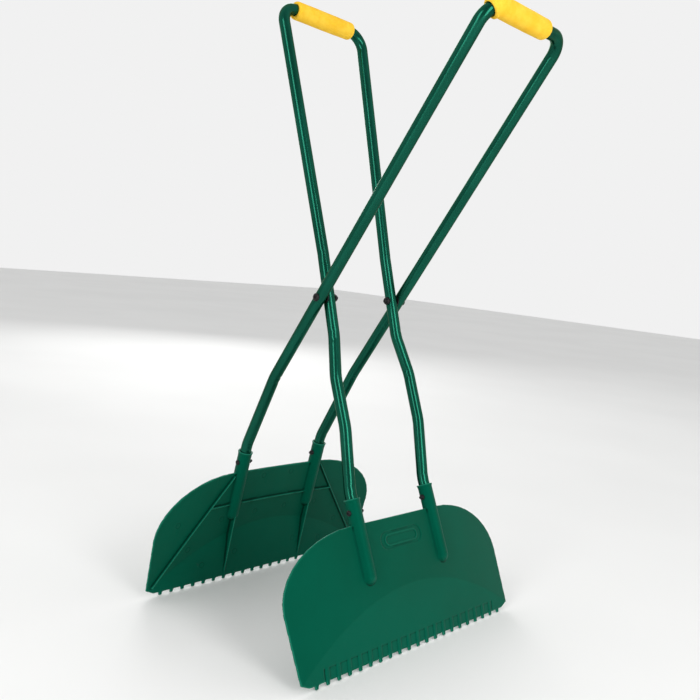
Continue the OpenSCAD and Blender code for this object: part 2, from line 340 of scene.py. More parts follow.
@dataclass(frozen=True)
class MouldedPlastic:
    """Semi-matt green plastic with a spark-eroded grain, worn pale at the teeth; edges painted lighter as painted
    highlight, corners painted darker as painted shade.
    """

    name: str = "scoop_green_plastic"
    base: Colour = (0.0, 0.08, 0.046, 1.0)
    deep: Colour = (0.0, 0.062, 0.034, 1.0)
    scuffed: Colour = (0.015, 0.15, 0.1, 1.0)
    # Painted highlight colour for edges, and painted shade colour for corners.
    edge: Colour = (0.03, 0.26, 0.17, 1.0)
    corner: Colour = (0.0, 0.014, 0.007, 1.0)
    tint: Colour = (0.06, 0.9, 0.65, 1.0)
    wear_height: float = 30 * MM
    cloud_scale: float = 9.0
    speck_scale: float = 420.0
    scratch_scale: tuple[float, float] = (900.0, 60.0)
    grain_scale: float = 2600.0
    grain_depth: float = 0.05 * MM
    flow_scale: float = 38.0
    flow_depth: float = 0.5 * MM
    rough: float = 0.46
    gloss: float = 0.12
    ior: float = 1.5

    def make(self) -> bpy.types.Material:
        """Builds the material."""
        g = Graph.of_material(self.name)
        cloud = g.noise(self.cloud_scale, 4.0, 0.55).band(0.3, 0.7)
        height = g.split(g.place(), "Z")
        low = 1.0 - height.band(0.0, self.wear_height)
        scratch = g.noise(1.0, 4.0, 0.6, g.stretched(*self.scratch_scale)).band(0.6, 0.75)
        scuff = scratch * low * 0.55
        speck = g.noise(self.speck_scale, 2.0).band(0.68, 0.8) * 0.14
        # The flat lip below its curved crease is painted lighter: painted light, for the lip facing the lamps more
        # than the plate above.
        rubbed = g.stored("lip_rub")
        # Painted highlight: edges are painted lighter. Painted shade: corners and the feet of ribs are painted
        # darker.
        painted_light_relief = g.stored("edge_wear")
        edge = painted_light_relief.band(0.2, 1.0)
        hollow = (painted_light_relief * -1.0).band(0.08, 0.6)
        # Random cloudy tone, and the painted lighter lip.
        colour = g.mix(cloud * 0.5 + rubbed * 0.5, self.deep, self.base)
        colour = g.mix(scuff + speck, colour, self.scuffed)
        colour = g.mix(edge * 0.38, colour, self.edge)
        colour = g.mix(hollow * 0.9, colour, self.corner)
        grain = g.noise(self.grain_scale, 3.0, 0.6)
        flow = g.noise(self.flow_scale, 2.0)
        normal = g.bump(flow, self.flow_depth, 0.25)
        normal = g.bump(grain, self.grain_depth, 0.5, normal)
        rough = self.rough + cloud * 0.05 + scuff * 0.3 - edge * 0.12
        return g.surface({
            "Base Color": colour, "Roughness": rough, "Normal": normal,
            "Specular IOR Level": self.gloss, "Specular Tint": self.tint, "IOR": self.ior,
        })


@dataclass(frozen=True)
class TubeEnamel:
    """Gloss stove enamel on steel tube, with a slight orange peel."""

    name: str = "tube_green_enamel"
    base: Colour = (0.003, 0.07, 0.042, 1.0)
    thin: Colour = (0.005, 0.1, 0.062, 1.0)
    dust: Colour = (0.05, 0.2, 0.15, 1.0)
    tint: Colour = (0.05, 0.4, 0.28, 1.0)
    run_scale: tuple[float, float] = (60.0, 14.0)
    rub_scale: tuple[float, float] = (420.0, 26.0)
    wave_scale: tuple[float, float] = (110.0, 9.0)
    wave_depth: float = 0.35 * MM
    speck_scale: float = 700.0
    peel_scale: float = 520.0
    peel_depth: float = 0.03 * MM
    rough: float = 0.2
    metallic: float = 0.8
    coat: float = 0.1
    coat_rough: float = 0.12
    gloss: float = 0.2

    def make(self) -> bpy.types.Material:
        """Builds the material."""
        g = Graph.of_material(self.name)
        run = g.noise(1.0, 3.0, 0.5, g.stretched(*self.run_scale, True)).band(0.3, 0.75)
        speck = g.noise(self.speck_scale, 2.0, 0.5).band(0.74, 0.82)
        rub = g.noise(1.0, 4.0, 0.6, g.stretched(*self.rub_scale, True)).band(0.66, 0.8)
        colour = g.mix(run * 0.7, self.base, self.thin)
        colour = g.mix(speck * 0.16 + rub * 0.05, colour, self.dust)
        peel = g.noise(self.peel_scale, 2.0, 0.4)
        wave = g.noise(1.0, 2.0, 0.4, g.stretched(*self.wave_scale, True))
        normal = g.bump(wave, self.wave_depth, 0.35)
        normal = g.bump(peel, self.peel_depth, 0.3, normal)
        rough = self.rough + run * 0.05 + speck * 0.2 + rub * 0.1
        return g.surface({
            "Base Color": colour, "Roughness": rough, "Normal": normal,
            "Metallic": self.metallic, "Specular IOR Level": self.gloss,
            "Specular Tint": self.tint, "Coat Weight": self.coat - rub * 0.06,
            "Coat Roughness": self.coat_rough,
        })


@dataclass(frozen=True)
class GripFoam:
    """Yellow closed-cell foam: fine pores, soft mottling, grime in the hollows."""

    name: str = "grip_yellow_foam"
    base: Colour = (0.86, 0.49, 0.026, 1.0)
    pale: Colour = (0.91, 0.58, 0.055, 1.0)
    pore: Colour = (0.62, 0.33, 0.012, 1.0)
    cell_scale: float = 1500.0
    pit_scale: float = 620.0
    cell_depth: float = 0.12 * MM
    mottle_scale: float = 70.0
    crease_scale: tuple[float, float] = (220.0, 90.0)
    crease_depth: float = 0.4 * MM
    rough: float = 0.78
    gloss: float = 0.1

    def make(self) -> bpy.types.Material:
        """Builds the material."""
        g = Graph.of_material(self.name)
        cells = g.cells(self.cell_scale, 0.35)
        coarse = g.cells(self.pit_scale, 0.2)
        mottle = g.noise(self.mottle_scale, 4.0, 0.6).band(0.3, 0.72)
        pits = 1.0 - coarse.band(0.05, 0.3)
        colour = g.mix(mottle, self.base, self.pale)
        colour = g.mix(pits * 0.3, colour, self.pore)
        crease = g.noise(1.0, 3.0, 0.5, g.stretched(*self.crease_scale))
        normal = g.bump(crease, self.crease_depth, 0.3)
        normal = g.bump(cells, self.cell_depth, 0.55, normal)
        normal = g.bump(coarse, self.cell_depth, 0.35, normal)
        return g.surface({
            "Base Color": colour, "Roughness": self.rough + mottle * 0.08, "Normal": normal,
            "Specular IOR Level": self.gloss,
        })


@dataclass(frozen=True)
class OxidedSteel:
    """Black-oxide steel, rubbed brighter where a tool has touched it."""

    name: str = "black_oxide_steel"
    base: Colour = (0.006, 0.006, 0.007, 1.0)
    rubbed: Colour = (0.04, 0.04, 0.043, 1.0)
    rub_scale: float = 600.0
    grain_scale: float = 3200.0
    grain_depth: float = 0.04 * MM
    rough: float = 0.46
    metallic: float = 0.55

    def make(self) -> bpy.types.Material:
        """Builds the material."""
        g = Graph.of_material(self.name)
        rub = g.noise(self.rub_scale, 4.0, 0.6).band(0.5, 0.75)
        grain = g.noise(self.grain_scale, 2.0, 0.5)
        colour = g.mix(rub, self.base, self.rubbed)
        return g.surface({
            "Base Color": colour, "Metallic": self.metallic + rub * 0.4,
            "Roughness": self.rough - rub * 0.14, "Normal": g.bump(grain, self.grain_depth, 0.4),
        })


@dataclass(frozen=True)
class Finishes:
    """Every material of the tool, made once."""

    plastic: bpy.types.Material = field(default_factory=lambda: MouldedPlastic().make())
    enamel: bpy.types.Material = field(default_factory=lambda: TubeEnamel().make())
    foam: bpy.types.Material = field(default_factory=lambda: GripFoam().make())
    black: bpy.types.Material = field(default_factory=lambda: OxidedSteel().make())


# ------------------------------------------------------------------- mesh tools


def add_object(name: str, mesh: bpy.types.Mesh) -> bpy.types.Object:
    """Links a mesh into the scene.

    Args:
        name: The object's name.
        mesh: Its mesh, in the frame's own place.

    Returns:
        The new object.
    """
    piece = bpy.data.objects.new(name, mesh)
    bpy.context.scene.collection.objects.link(piece)
    return piece


def ring_faces(count: int, sides: int, closed: bool) -> list[tuple[int, ...]]:
    """Faces between neighbouring rings of points.

    Args:
        count: Number of rings.
        sides: Points in a ring.
        closed: Whether the last ring joins the first.

    Returns:
        Each face's points.
    """
    turn = np.arange(sides)
    following = (turn + 1) % sides
    faces: list[tuple[int, ...]] = []
    for i in range(count if closed else count - 1):
        here, there = i * sides, (i + 1) % count * sides
        faces.extend(zip(here + turn, here + following, there + following, there + turn))
    return faces


def skin_mesh(
    name: str, points: np.ndarray, faces: Sequence[tuple[int, ...]], sharp_deg: float
) -> bpy.types.Mesh:
    """A shaded mesh from points and faces.

    Args:
        name: The mesh's name.
        points: Its points.
        faces: Each face's points.
        sharp_deg: Edges sharper than this stay sharp; 0 smooths all.

    Returns:
        The mesh.
    """
    mesh = bpy.data.meshes.new(name)
    mesh.from_pydata(points.tolist(), [], [[int(v) for v in face] for face in faces])
    mesh.update()
    shade(mesh, sharp_deg)
    return mesh


def grid_mesh(name: str, rings: np.ndarray, sharp_deg: float = 0.0) -> bpy.types.Mesh:
    """A closed skin over rings of points, capped at both ends.

    Args:
        name: The mesh's name.
        rings: Points, as (ring, place in the ring, coordinate).
        sharp_deg: Edges sharper than this stay sharp; 0 smooths all.

    Returns:
        The mesh.
    """
    count, sides = rings.shape[:2]
    turn = np.arange(sides)
    following = (turn + 1) % sides
    faces = ring_faces(count, sides, closed=False)
    first, last = count * sides, count * sides + 1
    top = (count - 1) * sides
    faces.extend(zip(following, turn, np.full(sides, first)))
    faces.extend(zip(top + turn, top + following, np.full(sides, last)))
    ends = np.stack([rings[0].mean(0), rings[-1].mean(0)])
    return skin_mesh(name, np.concatenate([rings.reshape(-1, 3), ends]), faces, sharp_deg)


def loop_mesh(name: str, rings: np.ndarray, sharp_deg: float = 0.0) -> bpy.types.Mesh:
    """A closed skin whose last ring joins its first, so that a bore stays open.

    Args:
        name: The mesh's name.
        rings: Points, as (ring, place in the ring, coordinate).
        sharp_deg: Edges sharper than this stay sharp; 0 smooths all.

    Returns:
        The mesh.
    """
    faces = ring_faces(*rings.shape[:2], closed=True)
    return skin_mesh(name, rings.reshape(-1, 3), faces, sharp_deg)


def shade(mesh: bpy.types.Mesh, sharp_deg: float = 0.0) -> None:
    """Turns a mesh's faces outward and shades it smooth.

    Args:
        mesh: The mesh.
        sharp_deg: Edges sharper than this stay sharp; 0 smooths all.
    """
    build = bmesh.new()
    build.from_mesh(mesh)
    bmesh.ops.recalc_face_normals(build, faces=build.faces)
    build.to_mesh(mesh)
    build.free()
    mesh.shade_smooth()
    if sharp_deg:
        mesh.set_sharp_from_angle(angle=math.radians(sharp_deg))


def settle(piece: bpy.types.Object) -> None:
    """Applies a piece's modifiers to its mesh."""
    graph = bpy.context.evaluated_depsgraph_get()
    mesh = bpy.data.meshes.new_from_object(piece.evaluated_get(graph))
    piece.modifiers.clear()
    old, piece.data = piece.data, mesh
    bpy.data.meshes.remove(old)


def coordinates(mesh: bpy.types.Mesh) -> np.ndarray:
    """The mesh's points as an array."""
    points = np.empty(len(mesh.vertices) * 3, np.float32)
    mesh.vertices.foreach_get("co", points)
    return points.reshape(-1, 3).astype(float)


def eased(mesh: bpy.types.Mesh, share: np.ndarray, rounds: int) -> np.ndarray:
    """Where a mesh's points go when each moves towards the mean of its neighbours.

    Args:
        mesh: The mesh.
        share: How far each point moves in a round, from 0 to 1.
        rounds: Number of rounds.

    Returns:
        The moved points.
    """
    points = coordinates(mesh)
    edges = np.empty(len(mesh.edges) * 2, np.int32)
    mesh.edges.foreach_get("vertices", edges)
    a, b = edges.reshape(-1, 2).T
    count = np.bincount(a, minlength=len(points)) + np.bincount(b, minlength=len(points))
    for _ in range(rounds):
        total = np.stack([
            np.bincount(a, points[b, k], len(points)) + np.bincount(b, points[a, k], len(points))
            for k in range(3)
        ], 1)
        points += (total / count[:, None] - points) * share[:, None]
    return points


def place_points(mesh: bpy.types.Mesh, points: np.ndarray) -> None:
    """Moves a mesh's points to new places."""
    mesh.vertices.foreach_set("co", points.astype(np.float32).ravel())
    mesh.update()


def directions(mesh: bpy.types.Mesh) -> np.ndarray:
    """The outward direction at each of a mesh's points."""
    normals = np.empty(len(mesh.vertices) * 3, np.float32)
    mesh.vertices.foreach_get("normal", normals)
    return normals.reshape(-1, 3).astype(float)


def set_values(mesh: bpy.types.Mesh, name: str, values: np.ndarray) -> None:
    """Stores a number for each point of a mesh, for its material to read.

    Args:
        mesh: The mesh.
        name: The attribute's name.
        values: One number a point.
    """
    mesh.attributes.new(name, "FLOAT", "POINT").data.foreach_set("value", values.astype(np.float32))


def dress(
    piece: bpy.types.Object, finish: bpy.types.Material, slot: str, body: str, *nodes: str
) -> None:
    """Gives a piece its material and body, in place of CAD nodes.

    Args:
        piece: The piece.
        finish: Its material.
        slot: The record's material slot; not used.
        body: The body it rides on.
        nodes: The CAD nodes it stands for.
    """
    piece.data.materials.clear()
    piece.data.materials.append(finish)
    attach(piece, body)
    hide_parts(*nodes)
    LOG.info("%s: %d faces on %s", piece.name, len(piece.data.polygons), body)


# ------------------------------------------------------------------ bent tubes


# A bend is divided more finely than a straight run, by this share of its step.
BEND_STEP_SHARE = 0.35
LEAST_BEND_STEPS = 4
# A line that starts closer to X than this cosine takes its first cross direction from Z.
ALONG_X = 0.9
# Turns smaller than this are straight runs, and nothing is divided by less than this.
STRAIGHT, TINY = 1e-4, 1e-9


@dataclass
class Centreline:
    """A bent tube's centre line: points, directions, and lengths along it."""

    points: np.ndarray
    bend_ends: list[float] = field(default_factory=list)

    @classmethod
    def through(
        cls, corners: Sequence[Vector], radii: Sequence[float], step: float
    ) -> "Centreline":
        """Rounds the corners of a path with arcs.

        Args:
            corners: The path's corners, ends included.
            radii: Bend radius at each inner corner.
            step: Longest distance between points on a straight run.

        Returns:
            The centre line.
        """
        points: list[Vector] = [corners[0]]
        ends: list[float] = []
        length = 0.0
        for before, corner, after, radius in zip(corners, corners[1:], corners[2:], radii):
            into, out = (corner - before).normalized(), (after - corner).normalized()
            angle = into.angle(out)
            start = corner - into * radius * math.tan(angle / 2)
            centre = start + (out - into * into.dot(out)).normalized() * radius
            length += cls._run(points, start, step)
            ends.append(length)
            axis = into.cross(out).normalized()
            steps = max(LEAST_BEND_STEPS, round(angle * radius / (step * BEND_STEP_SHARE)))
            for i in range(1, steps + 1):
                turn = Matrix.Rotation(angle * i / steps, 3, axis)
                points.append(centre + turn @ (start - centre))
            length += angle * radius
            ends.append(length)
        cls._run(points, corners[-1], step)
        return cls(np.array([p[:] for p in points]), ends)

    @staticmethod
    def _run(points: list[Vector], target: Vector, step: float) -> float:
        """Extends a path straight to a target.

        Args:
            points: The path so far, which grows.
            target: The end of the run.
            step: Longest distance between points.

        Returns:
            The run's length.
        """
        start = points[-1].copy()
        length = (target - start).length
        steps = max(1, math.ceil(length / step))
        points.extend(start.lerp(target, i / steps) for i in range(1, steps + 1))
        return length

    @property
    def along(self) -> np.ndarray:
        """Length along the line at each point."""
        gaps = np.linalg.norm(np.diff(self.points, axis=0), axis=1)
        return np.concatenate([[0.0], np.cumsum(gaps)])

    def part(self, start: float, end: float, step: float) -> "Centreline":
        """A stretch of the line.

        Args:
            start: Length at which it starts.
            end: Length at which it ends.
            step: Distance between its points.

        Returns:
            The stretch.
        """
        places = np.linspace(start, end, max(2, round((end - start) / step)))
        read = [np.interp(places, self.along, self.points[:, k]) for k in range(3)]
        return Centreline(np.stack(read, 1))

    def frames(self) -> tuple[np.ndarray, np.ndarray, np.ndarray]:
        """Directions along, across and beside the line at each point, without twist."""
        tangent = np.gradient(self.points, axis=0)
        tangent /= np.linalg.norm(tangent, axis=1)[:, None]
        across = np.empty_like(tangent)
        seed = np.array([0.0, 0.0, 1.0] if abs(tangent[0, 0]) >= ALONG_X else [1.0, 0.0, 0.0])
        for i, direction in enumerate(tangent):
            seed = seed - direction * (seed @ direction)
            seed /= np.linalg.norm(seed)
            across[i] = seed
        return tangent, across, np.cross(tangent, across)

    def hollow_side(self) -> np.ndarray:
        """Unit direction towards the inside of the bend at each point, or zero."""
        tangent = self.frames()[0]
        curve = np.gradient(tangent, axis=0)
        size = np.linalg.norm(curve, axis=1)
        inward = curve / np.maximum(size, TINY)[:, None]
        return np.where(size[:, None] > STRAIGHT, inward, 0.0)

    def rings(self, sides: int, radius: RadiusRule) -> np.ndarray:
        """Rings of points round the line.

        Args:
            sides: Points in a ring.
            radius: Gives the radii from the lengths along and the outward directions.

        Returns:
            Points, as (ring, place in the ring, coordinate).
        """
        _, across, beside = self.frames()
        turn = np.linspace(0.0, 2 * math.pi, sides, endpoint=False)
        outward = across[:, None] * np.cos(turn)[None, :, None]
        outward = outward + beside[:, None] * np.sin(turn)[None, :, None]
        return self.points[:, None] + outward * radius(self.along, outward)[..., None]


@dataclass
class TubeFrame:
    """One bent handle tube with its foam grip."""

    kind: FrameKind
    tube_r: float = 8 * MM
    corner_r: float = 24 * MM
    top_half: float = 81 * MM
    inner_half: float = 64.4 * MM
    socket_half: float = 76 * MM
    taper_at: float = 62 * MM
    splay_at: float = 52 * MM
    knee_at: float = 142 * MM
    bar_above: float = 200 * MM
    bar_spare: float = 1 * MM
    above_screw: float = 28 * MM
    below_screw: float = 38 * MM
    splay_run: tuple[float, float, float] = (48 * MM, 0.0, -115 * MM)
    spread_share: float = 0.45
    taper_r: float = 90 * MM
    knee_r: float = 80 * MM
    bend_r: float = 60 * MM
    run_step: float = 3.5 * MM
    tube_sides: int = 44
    mark_depth: float = 0.55 * MM
    mark_reach: float = 2.2 * MM
    ripple_height: float = 0.18 * MM
    ripple_reach: float = 2.5 * MM
    ripple_past: float = 5 * MM
    mark_focus: int = 5
    flat_depth: float = 0.5 * MM
    flat_reach: float = 9 * MM
    flat_fade: float = 2 * MM
    grip_r: float = 12.5 * MM
    grip_len: float = 112 * MM
    grip_wrap: float = math.radians(45)
    grip_step: float = 1.1 * MM
    grip_sides: int = 72
    edge_r: float = 3.2 * MM
    edge_share: float = 0.8
    crown: float = 0.25 * MM
    lump_height: float = 0.22 * MM
    lump_turns: float = 1.3
    lump_scale: float = 45.0
    cut_shares: tuple[float, ...] = (0.25, 0.5, 0.75)
    sharp_deg: float = 60.0
    bore_gap: float = 0.1 * MM
    loose_end: float = 0.9 * MM
    tight_end: float = 0.35 * MM
    flare: float = 6 * MM

    @property
    def node(self) -> str:
        """The CAD node of the tube."""
        return f"{self.kind.value}_handle_tube"

    @property
    def station(self) -> Station:
        """The station of the scoop that this frame carries."""
        return Station.FRONT if self.kind is FrameKind.INNER else Station.REAR

    def pivot(self) -> Vector:
        """The middle of the hinge axis."""
        return Vector(frame["joints"][0]["pos_m"])

    def bar(self) -> Vector:
        """The middle of the top bar, from the CAD tube's own points."""
        points = coordinates(frame["nodes"][self.node].data)
        top = points[np.abs(points[:, 1]) < self.top_half - self.corner_r + self.bar_spare]
        top = top[top[:, 2] > self.pivot().z + self.bar_above]
        low, high = top.min(0), top.max(0)
        return Vector(((low[0] + high[0]) / 2, 0.0, (low[2] + high[2]) / 2))

    def half_corners(self) -> tuple[list[Vector], list[float]]:
        """Corners and bend radii of the far half, from the top corner down."""
        pivot, bar = self.pivot(), self.bar()
        up = (bar - pivot).normalized()
        screw = middle(f"{self.station.word}_far_socket_screw")
        axis = socket_axis(self.station)
        foot = [(screw + axis * self.above_screw, self.socket_half),
                (screw - axis * self.below_screw, self.socket_half)]
        if self.kind is FrameKind.INNER:
            splay = pivot - up * self.splay_at
            run = Vector(self.splay_run)
            turns = [(bar, self.top_half), (pivot + up * self.taper_at, self.inner_half),
                     (splay, self.inner_half),
                     (splay + run * self.spread_share, self.socket_half),
                     (splay + run, self.socket_half)]
            radii = [self.corner_r, self.taper_r, self.bend_r, self.bend_r, self.knee_r,
                     self.bend_r]
        else:
            turns = [(bar, self.top_half), (pivot - up * self.knee_at, self.top_half)]
            radii = [self.corner_r, self.knee_r, self.bend_r]
        return [Vector((p.x, y, p.z)) for p, y in turns + foot], radii

    def line(self) -> Centreline:
        """The whole centre line, from the near socket up, across and down to the far one."""
        half, radii = self.half_corners()
        near = [Vector((p.x, -p.y, p.z)) for p in reversed(half)]
        return Centreline.through(near + half, radii[::-1] + radii, self.run_step)

    def tube_radius(self, line: Centreline) -> RadiusRule:
        """How the tube's radius changes: former marks on the hollow side of each bend.

        Args:
            line: The tube's centre line.

        Returns:
            A function from lengths along and outward directions to radii.
        """
        hollow = line.hollow_side()

        def radius(along: np.ndarray, outward: np.ndarray) -> np.ndarray:
            """Radius at each ring point."""
            inside = np.einsum("nk,nsk->ns", hollow, outward)
            made = np.full(outward.shape[:2], self.tube_r)
            weight = np.clip(inside, 0.0, 1.0) ** self.mark_focus
            for place in line.bend_ends:
                past = along - place
                dent = np.exp(-((past / self.mark_reach) ** 2))[:, None]
                ripple = np.exp(-(((past - self.ripple_past) / self.ripple_reach) ** 2))[:, None]
                made -= weight * (self.mark_depth * dent - self.ripple_height * ripple)
            return made

        return radius

    def pressed(self, rings: np.ndarray) -> np.ndarray:
        """Presses the tube flat where the pivot bolts pass.

        Args:
            rings: The tube's points.

        Returns:
            The points, with flats.
        """
        pivot = np.array(self.pivot())
        centre = rings.mean(1)
        reach = np.linalg.norm((centre - pivot)[:, [0, 2]], axis=1)
        share = (self.flat_reach + self.flat_fade - reach) / self.flat_fade
        limit = (self.tube_r - self.flat_depth * np.clip(share, 0.0, 1.0))[:, None]
        beside = rings[..., 1] - centre[:, None, 1]
        rings[..., 1] = centre[:, None, 1] + np.clip(beside, -limit, limit)
        return rings

    def build_tube(self, finish: bpy.types.Material) -> None:
        """Builds the enamelled tube.

        Args:
            finish: Its material.
        """
        line = self.line()
        rings = self.pressed(line.rings(self.tube_sides, self.tube_radius(line)))
        tube = add_object(f"{self.kind.value}_frame_tube", grid_mesh(self.node, rings))
        dress(tube, finish, "tube_enamel", BODY[self.kind], self.node)

    def grip_span(self, line: Centreline) -> tuple[float, float]:
        """Where the grip starts and ends along the tube.

        Args:
            line: The tube's centre line.

        Returns:
            The two lengths along.
        """
        half = line.along[-1] / 2
        if self.kind is FrameKind.INNER:
            return half - self.grip_len / 2, half + self.grip_len / 2
        start = half - (self.top_half - self.corner_r) - self.corner_r * self.grip_wrap
        return start, start + self.grip_len

    def build_grip(self, finish: bpy.types.Material) -> None:
        """Builds the foam sleeve, with its cut ends and the bore at the tube.

        Args:
            finish: Its material.
        """
        line = self.line()
        start, end = self.grip_span(line)
        stretch = line.part(start, end, self.grip_step)
        skin = stretch.rings(self.grip_sides, self.foam_radius)
        bore = stretch.rings(self.grip_sides, self.bore_radius)
        near_cut, far_cut = (self.cut_face(skin[i], bore[i]) for i in (0, -1))
        rings = np.concatenate([skin, far_cut, bore[::-1], near_cut[::-1]])
        node = f"{self.kind.value}_grip"
        grip = add_object(f"{self.kind.value}_foam_grip", loop_mesh(node, rings, self.sharp_deg))
        dress(grip, finish, "grip_foam", BODY[self.kind], node)

    def foam_radius(self, along: np.ndarray, outward: np.ndarray) -> np.ndarray:
        """Radius of the foam: crowned, rounded at its ends and slightly uneven.

        Args:
            along: Length along the grip at each ring.
            outward: Outward direction of each point.

        Returns:
            The radii.
        """
        edge = self.edge_r
        into_edge = np.maximum(edge - np.minimum(along, along[-1] - along), 0.0)
        inset = edge - np.sqrt(np.maximum(edge**2 - into_edge**2, 0.0))
        crown = self.crown * np.sin(math.pi * along / along[-1])
        made = np.empty(outward.shape[:2])
        for i, place in enumerate(along):
            for j, way in enumerate(outward[i]):
                at = Vector(way) * self.lump_turns + Vector((0.0, 0.0, place * self.lump_scale))
                lump = self.lump_height * noise.noise(at)
                made[i, j] = self.grip_r - inset[i] * self.edge_share + crown[i] + lump
        return made

    def bore_radius(self, along: np.ndarray, outward: np.ndarray) -> np.ndarray:
        """Radius of the foam's bore: close on the tube, and opened at both ends.

        Args:
            along: Length along the grip at each ring.
            outward: Outward direction of each point.

        Returns:
            The radii.
        """
        loose = self.loose_end if self.kind is FrameKind.OUTER else self.tight_end
        opened = loose * np.clip(1.0 - along / self.flare, 0.0, 1.0)
        opened += self.tight_end * np.clip(1.0 - (along[-1] - along) / self.flare, 0.0, 1.0)
        return np.broadcast_to((self.tube_r + self.bore_gap + opened)[:, None], outward.shape[:2])

    def cut_face(self, rim: np.ndarray, bore: np.ndarray) -> np.ndarray:
        """Rings across the cut end of the foam, from its skin to its bore."""
        return np.stack([rim + (bore - rim) * share for share in self.cut_shares])


def middle(node: str) -> Vector:
    """The middle of a CAD node's box."""
    low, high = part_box(node)
    return (low + high) / 2


def tooth_mount(station: Station) -> dict[str, object]:
    """The record's mount on the end of a tooth of a scoop."""
    mounts = frame["record"]["mounts"]
    return next(m for m in mounts if m["name"] == f"{station.word}_tooth_end")


def socket_axis(station: Station) -> Vector:
    """Unit direction of a scoop's sockets, upward."""
    return -Vector(tooth_mount(station)["axis"]).normalized()


# ---------------------------------------------------------------------- scoops


@dataclass
class Scoop:
    """A toothed scoop, moulded in one with its two sockets."""

    station: Station
    grain: float = 0.85 * MM
    socket_half: float = 76 * MM
    socket_r: float = 10.1 * MM
    plate_h: float = 172 * MM
    keep_share: float = 0.26
    weld_gap: float = 0.002 * MM
    ease: float = 0.5
    ease_rounds: int = 2
    fillet_rounds: int = 26
    fillet_reach: float = 3.2 * MM
    fillet_below: float = 3 * MM
    fillet_foot: float = 80 * MM
    top_fade: float = 6 * MM
    foot_fade: float = 8 * MM
    # How edges and corners are found, for the painted highlight and the painted shade.
    wear_rounds: int = 8
    full_wear: float = 0.3 * MM
    plain_wear: float = 0.1
    crease: float = 0.3 * MM
    lip_slope: float = math.radians(9.3)
    lip_rise: float = 13.59 * MM
    curve_r: float = 1900 * MM
    ejector_r: float = 4 * MM
    ejector_depth: float = 0.25 * MM
    ejector_width: float = 0.9 * MM
    inner_facing: float = -0.8
    ejectors: tuple[tuple[float, float], ...] = (
        (28 * MM, 160 * MM), (95 * MM, 98 * MM), (150 * MM, 60 * MM), (30 * MM, 100 * MM),
        (60 * MM, 40 * MM), (120 * MM, 30 * MM), (178 * MM, 105 * MM),
    )

    @property
    def node(self) -> str:
        """The CAD node of the scoop."""
        return f"{self.station.word}_scoop"

    def axes(self) -> tuple[np.ndarray, np.ndarray]:
        """The scoop's own directions, outward and up its sockets."""
        up = np.array(socket_axis(self.station))
        sign = self.station.value
        return np.array([sign * up[2], 0.0, -sign * up[0]]), up

    def local(self, points: np.ndarray) -> np.ndarray:
        """Points in the scoop's own frame.

        Args:
            points: Points in the row's frame.

        Returns:
            Their places outward from the tips, across, and up from the tips.
        """
        out, up = self.axes()
        start = np.array(tooth_mount(self.station)["pos_m"]) * (1, 0, 1)
        gap = points - start
        return np.stack([gap @ out, points[:, 1], gap @ up], 1)

    def build(self, finish: bpy.types.Material) -> None:
        """Builds the moulding, with rounded edges, fillets and ejector marks.

        Args:
            finish: Its material.
        """
        piece = add_object(f"{self.node}_moulding", frame["nodes"][self.node].data.copy())
        self.weld(piece.data)
        remesh = piece.modifiers.new("round_edges", "REMESH")
        remesh.mode = "VOXEL"
        remesh.voxel_size = self.grain
        settle(piece)
        self.soften(piece.data)
        self.mark(piece.data)
        self.thin_out(piece)
        shade(piece.data)
        dress(piece, finish, "scoop_plastic", BODY[FRAME_OF[self.station]], self.node)

    def weld(self, mesh: bpy.types.Mesh) -> None:
        """Joins the points that lie on each other."""
        build = bmesh.new()
        build.from_mesh(mesh)
        bmesh.ops.remove_doubles(build, verts=build.verts, dist=self.weld_gap)
        build.to_mesh(mesh)
        build.free()

    def soften(self, mesh: bpy.types.Mesh) -> None:
        """Rounds all edges a little, and fillets the plate to its sockets.

        Args:
            mesh: The moulding's mesh.
        """
        place = self.local(coordinates(mesh))
        everywhere = np.full(len(place), self.ease)
        place_points(mesh, eased(mesh, everywhere, self.ease_rounds))
        beside = np.abs(np.abs(place[:, 1]) - self.socket_half)
        corner = np.exp(-(((beside - self.socket_r) / self.fillet_reach) ** 2))
        top = self.plate_h - self.fillet_below
        corner *= np.clip((top - place[:, 2]) / self.top_fade, 0.0, 1.0)
        corner *= np.clip((place[:, 2] - self.fillet_foot) / self.foot_fade, 0.0, 1.0)
        place_points(mesh, eased(mesh, self.ease * corner, self.fillet_rounds))

    def mark(self, mesh: bpy.types.Mesh) -> None:
        """Sinks the round ejector marks into the inner face.

        Args:
            mesh: The moulding's mesh.
        """
        points = coordinates(mesh)
        place = self.local(points)
        out, _ = self.axes()
        inner = directions(mesh) @ out < self.inner_facing
        for across, height in self.ejectors:
            for side in Side:
                gap = np.hypot(place[:, 1] - side.value * across, place[:, 2] - height)
                ring = np.exp(-(((gap - self.ejector_r) / self.ejector_width) ** 2)) * inner
                points += (ring * self.ejector_depth)[:, None] * out
        place_points(mesh, points)

    def edges_and_hollows(self, mesh: bpy.types.Mesh) -> np.ndarray:
        """How much each point stands on an edge, to 1, or lies in a corner, to -1."""
        everywhere = np.full(len(mesh.vertices), self.ease)
        moved = coordinates(mesh) - eased(mesh, everywhere, self.wear_rounds)
        proud = np.einsum("nk,nk->n", moved, directions(mesh))
        return np.clip(proud / self.full_wear, -1.0, 1.0)

    def above_lip(self, mesh: bpy.types.Mesh) -> np.ndarray:
        """How far each point is above the curved line where the flat lip starts."""
        place = self.local(coordinates(mesh))
        rise = place[:, 2] * math.tan(self.lip_slope) - self.lip_rise
        return rise + place[:, 1] ** 2 / (2 * self.curve_r)

